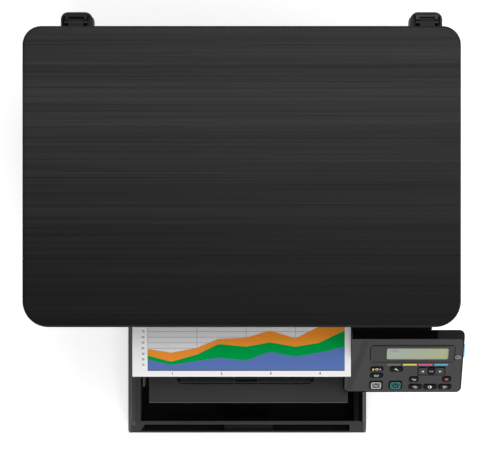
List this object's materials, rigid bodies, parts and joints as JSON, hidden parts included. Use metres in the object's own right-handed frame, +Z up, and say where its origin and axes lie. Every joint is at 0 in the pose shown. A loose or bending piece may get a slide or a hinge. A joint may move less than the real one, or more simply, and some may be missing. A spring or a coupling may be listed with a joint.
{
  "type": "multifunction printer",
  "caption": "Desktop laser printer, scanner and copier with a flatbed lid, a sloping control panel, a folding paper tray and a pull-out output support.",
  "frame": {"origin": "middle of the footprint, on the table", "axes": "+X to the right as a user faces the machine, +Y to the back, +Z up"},
  "size_m": [0.4302, 0.4279, 0.289],
  "materials": {
    "charcoal": "fine brushed grain",
    "body_black": "fine spark texture",
    "gloss_black": "polished",
    "tray_grey": "satin",
    "panel_grey": "satin",
    "button_grey": "satin",
    "power_blue": "translucent",
    "lcd": "display film",
    "rubber": "matt",
    "steel": "brushed",
    "roller_rubber": "matt",
    "drum_green": "coated",
    "fuser_film": "smooth",
    "glass": "clear",
    "white_pad": "soft",
    "page": "printed page",
    "toner_black": "satin",
    "toner_cyan": "satin",
    "toner_magenta": "satin",
    "toner_yellow": "satin",
    "inner_grey": "satin",
    "belt": "ribbed",
    "feet": "matt"
  },
  "bodies": {
    "chassis": {"base_frame": "body_black", "feet": "feet", "left_cover": "body_black", "right_cover": "body_black", "rear_cover": "body_black", "output_bin": "body_black", "extension_guide": "body_black", "side_frames": "steel", "rear_ports": "steel", "power_inlet": "gloss_black", "fuser_housing": "inner_grey"},
    "pickup": {"pickup_roller": "roller_rubber"},
    "exit_drive": {"exit_roller": "roller_rubber"},
    "exit_pinch": {"exit_pinch_roller": "roller_rubber"},
    "fuser_heat": {"fuser_roller": "fuser_film"},
    "fuser_press": {"pressure_roller": "roller_rubber"},
    "drum": {"imaging_drum": "drum_green"},
    "carousel": {"carousel_frame": "inner_grey", "toner_black": "toner_black", "toner_cyan": "toner_cyan", "toner_magenta": "toner_magenta", "toner_yellow": "toner_yellow"},
    "front_door": {"front_door": "inner_grey"},
    "rear_door": {"rear_door": "body_black"},
    "scanner": {"scanner_base": "body_black", "scanner_glass": "glass", "scan_rail": "steel", "scan_belt": "belt", "scan_motor": "steel", "panel_bracket": "gloss_black"},
    "carriage": {"scan_carriage": "inner_grey"},
    "drive_pulley": {"drive_pulley": "inner_grey"},
    "idler_pulley": {"idler_pulley": "inner_grey"},
    "hinge_posts": {"hinge_posts": "gloss_black"},
    "lid": {"lid_cover": "charcoal", "lid_pad": "white_pad"},
    "panel": {"panel_housing": "gloss_black", "panel_face": "panel_grey", "lcd_display": "lcd"},
    "extension": {"output_extension": "tray_grey"},
    "stop": {"extension_stop": "gloss_black"},
    "sheet": {"printed_sheet": "page"},
    "tray": {"paper_tray": "tray_grey"},
    "width_guide_left": {"width_guide_left": "inner_grey"},
    "width_guide_right": {"width_guide_right": "inner_grey"},
    "length_guide": {"length_guide": "inner_grey"},
    "supplies_button": {"supplies_button": "button_grey"},
    "quality_button": {"quality_button": "button_grey"},
    "setup_button": {"setup_button": "button_grey"},
    "left_button": {"left_button": "button_grey"},
    "ok_button": {"ok_button": "button_grey"},
    "right_button": {"right_button": "button_grey"},
    "back_button": {"back_button": "button_grey"},
    "cancel_button": {"cancel_button": "button_grey"},
    "copies_button": {"copies_button": "button_grey"},
    "contrast_button": {"contrast_button": "button_grey"},
    "menu_button": {"menu_button": "button_grey"},
    "start_black_button": {"start_black_button": "button_grey"},
    "start_colour_button": {"start_colour_button": "button_grey"},
    "power_button": {"power_button": "power_blue"}
  },
  "joints": [
    {"name": "tray_fold", "type": "hinge", "parent": "chassis", "child": "tray", "pos_m": [0, -0.084, 0.02], "axis": [1, 0, 0], "range_deg": [-88, 0]},
    {"name": "front_door_hinge", "type": "hinge", "parent": "chassis", "child": "front_door", "pos_m": [0, -0.0398, 0.062], "axis": [1, 0, 0], "range_deg": [0, 90]},
    {"name": "rear_door_hinge", "type": "hinge", "parent": "chassis", "child": "rear_door", "pos_m": [0, 0.1885, 0.0444], "axis": [-1, 0, 0], "range_deg": [0, 85]},
    {"name": "scanner_tilt", "type": "hinge", "parent": "chassis", "child": "scanner", "pos_m": [0, 0.172, 0.214], "axis": [-1, 0, 0], "range_deg": [0, 40]},
    {"name": "lid_lift", "type": "slide", "parent": "scanner", "child": "hinge_posts", "axis": [0, 0, 1], "range_m": [0, 0.02]},
    {"name": "lid_hinge", "type": "hinge", "parent": "hinge_posts", "child": "lid", "pos_m": [0, 0.2014, 0.276], "axis": [-1, 0, 0], "range_deg": [0, 75]},
    {"name": "carriage_slide", "type": "slide", "parent": "scanner", "child": "carriage", "axis": [1, 0, 0], "range_m": [0, 0.26]},
    {"name": "drive_pulley_spin", "type": "hinge", "parent": "scanner", "child": "drive_pulley", "pos_m": [0.112, 0.03, 0.2455], "axis": [0, 0, 1], "continuous": true},
    {"name": "idler_pulley_spin", "type": "hinge", "parent": "scanner", "child": "idler_pulley", "pos_m": [-0.196, 0.03, 0.2455], "axis": [0, 0, 1], "continuous": true},
    {"name": "panel_tilt", "type": "hinge", "parent": "scanner", "child": "panel", "pos_m": [0.155, -0.094, 0.224], "axis": [-1, 0, 0], "range_deg": [0, 20]},
    {"name": "extension_slide", "type": "slide", "parent": "chassis", "child": "extension", "axis": [0, -1, 0], "range_m": [-0.075, 0]},
    {"name": "stop_fold", "type": "hinge", "parent": "extension", "child": "stop", "pos_m": [0, -0.1505, 0.1732], "axis": [1, 0, 0], "range_deg": [0, 60]},
    {"name": "sheet_slide", "type": "slide", "parent": "chassis", "child": "sheet", "axis": [0, 0.9985, -0.0539], "range_m": [-0.12, 0]},
    {"name": "width_guide_right_slide", "type": "slide", "parent": "tray", "child": "width_guide_right", "axis": [-1, 0, 0], "range_m": [0, 0.055]},
    {"name": "width_guide_left_slide", "type": "slide", "parent": "tray", "child": "width_guide_left", "axis": [1, 0, 0], "range_m": [0, 0.055]},
    {"name": "length_guide_slide", "type": "slide", "parent": "tray", "child": "length_guide", "axis": [0, 1, 0], "range_m": [0, 0.06]},
    {"name": "pickup_turn", "type": "hinge", "parent": "chassis", "child": "pickup", "pos_m": [-0.004, -0.015, 0.038], "axis": [1, 0, 0], "continuous": true},
    {"name": "carousel_turn", "type": "hinge", "parent": "chassis", "child": "carousel", "pos_m": [-0.004, 0.028, 0.104], "axis": [1, 0, 0], "continuous": true},
    {"name": "fuser_turn", "type": "hinge", "parent": "chassis", "child": "fuser_heat", "pos_m": [-0.004, 0.143, 0.165], "axis": [1, 0, 0], "continuous": true},
    {"name": "pressure_turn", "type": "hinge", "parent": "chassis", "child": "fuser_press", "pos_m": [-0.004, 0.1653, 0.165], "axis": [1, 0, 0], "continuous": true},
    {"name": "exit_turn", "type": "hinge", "parent": "chassis", "child": "exit_drive", "pos_m": [-0.004, 0.136, 0.195], "axis": [1, 0, 0], "continuous": true},
    {"name": "exit_pinch_turn", "type": "hinge", "parent": "chassis", "child": "exit_pinch", "pos_m": [-0.004, 0.136, 0.2079], "axis": [1, 0, 0], "continuous": true},
    {"name": "drum_turn", "type": "hinge", "parent": "chassis", "child": "drum", "pos_m": [-0.004, 0.0995, 0.108], "axis": [1, 0, 0], "continuous": true},
    {"name": "supplies_button_press", "type": "slide", "parent": "panel", "child": "supplies_button", "axis": [0, 0.6428, -0.766], "range_m": [0, 0.001], "stiffness_N_per_m": 200},
    {"name": "quality_button_press", "type": "slide", "parent": "panel", "child": "quality_button", "axis": [0, 0.6428, -0.766], "range_m": [0, 0.001], "stiffness_N_per_m": 200},
    {"name": "setup_button_press", "type": "slide", "parent": "panel", "child": "setup_button", "axis": [0, 0.6428, -0.766], "range_m": [0, 0.001], "stiffness_N_per_m": 200},
    {"name": "left_button_press", "type": "slide", "parent": "panel", "child": "left_button", "axis": [0, 0.6428, -0.766], "range_m": [0, 0.001], "stiffness_N_per_m": 200},
    {"name": "ok_button_press", "type": "slide", "parent": "panel", "child": "ok_button", "axis": [0, 0.6428, -0.766], "range_m": [0, 0.001], "stiffness_N_per_m": 200},
    {"name": "right_button_press", "type": "slide", "parent": "panel", "child": "right_button", "axis": [0, 0.6428, -0.766], "range_m": [0, 0.001], "stiffness_N_per_m": 200},
    {"name": "back_button_press", "type": "slide", "parent": "panel", "child": "back_button", "axis": [0, 0.6428, -0.766], "range_m": [0, 0.001], "stiffness_N_per_m": 200},
    {"name": "cancel_button_press", "type": "slide", "parent": "panel", "child": "cancel_button", "axis": [0, 0.6428, -0.766], "range_m": [0, 0.001], "stiffness_N_per_m": 200},
    {"name": "copies_button_press", "type": "slide", "parent": "panel", "child": "copies_button", "axis": [0, 0.6428, -0.766], "range_m": [0, 0.001], "stiffness_N_per_m": 200},
    {"name": "contrast_button_press", "type": "slide", "parent": "panel", "child": "contrast_button", "axis": [0, 0.6428, -0.766], "range_m": [0, 0.001], "stiffness_N_per_m": 200},
    {"name": "menu_button_press", "type": "slide", "parent": "panel", "child": "menu_button", "axis": [0, 0.6428, -0.766], "range_m": [0, 0.001], "stiffness_N_per_m": 200},
    {"name": "start_black_button_press", "type": "slide", "parent": "panel", "child": "start_black_button", "axis": [0, 0.6428, -0.766], "range_m": [0, 0.001], "stiffness_N_per_m": 200},
    {"name": "start_colour_button_press", "type": "slide", "parent": "panel", "child": "start_colour_button", "axis": [0, 0.6428, -0.766], "range_m": [0, 0.001], "stiffness_N_per_m": 200},
    {"name": "power_button_press", "type": "slide", "parent": "panel", "child": "power_button", "axis": [-1, 0, 0], "range_m": [0, 0.001], "stiffness_N_per_m": 200}
  ],
  "couplings": [
    {"joint": "width_guide_left_slide", "follows": "width_guide_right_slide", "ratio": 1},
    {"joint": "drive_pulley_spin", "follows": "carriage_slide", "rad_per_m": -129.03},
    {"joint": "idler_pulley_spin", "follows": "carriage_slide", "rad_per_m": -129.03},
    {"joint": "pressure_turn", "follows": "fuser_turn", "ratio": -1},
    {"joint": "exit_turn", "follows": "fuser_turn", "ratio": 1.8333},
    {"joint": "exit_pinch_turn", "follows": "fuser_turn", "ratio": -1.8333},
    {"joint": "drum_turn", "follows": "fuser_turn", "ratio": 0.9167}
  ]
}
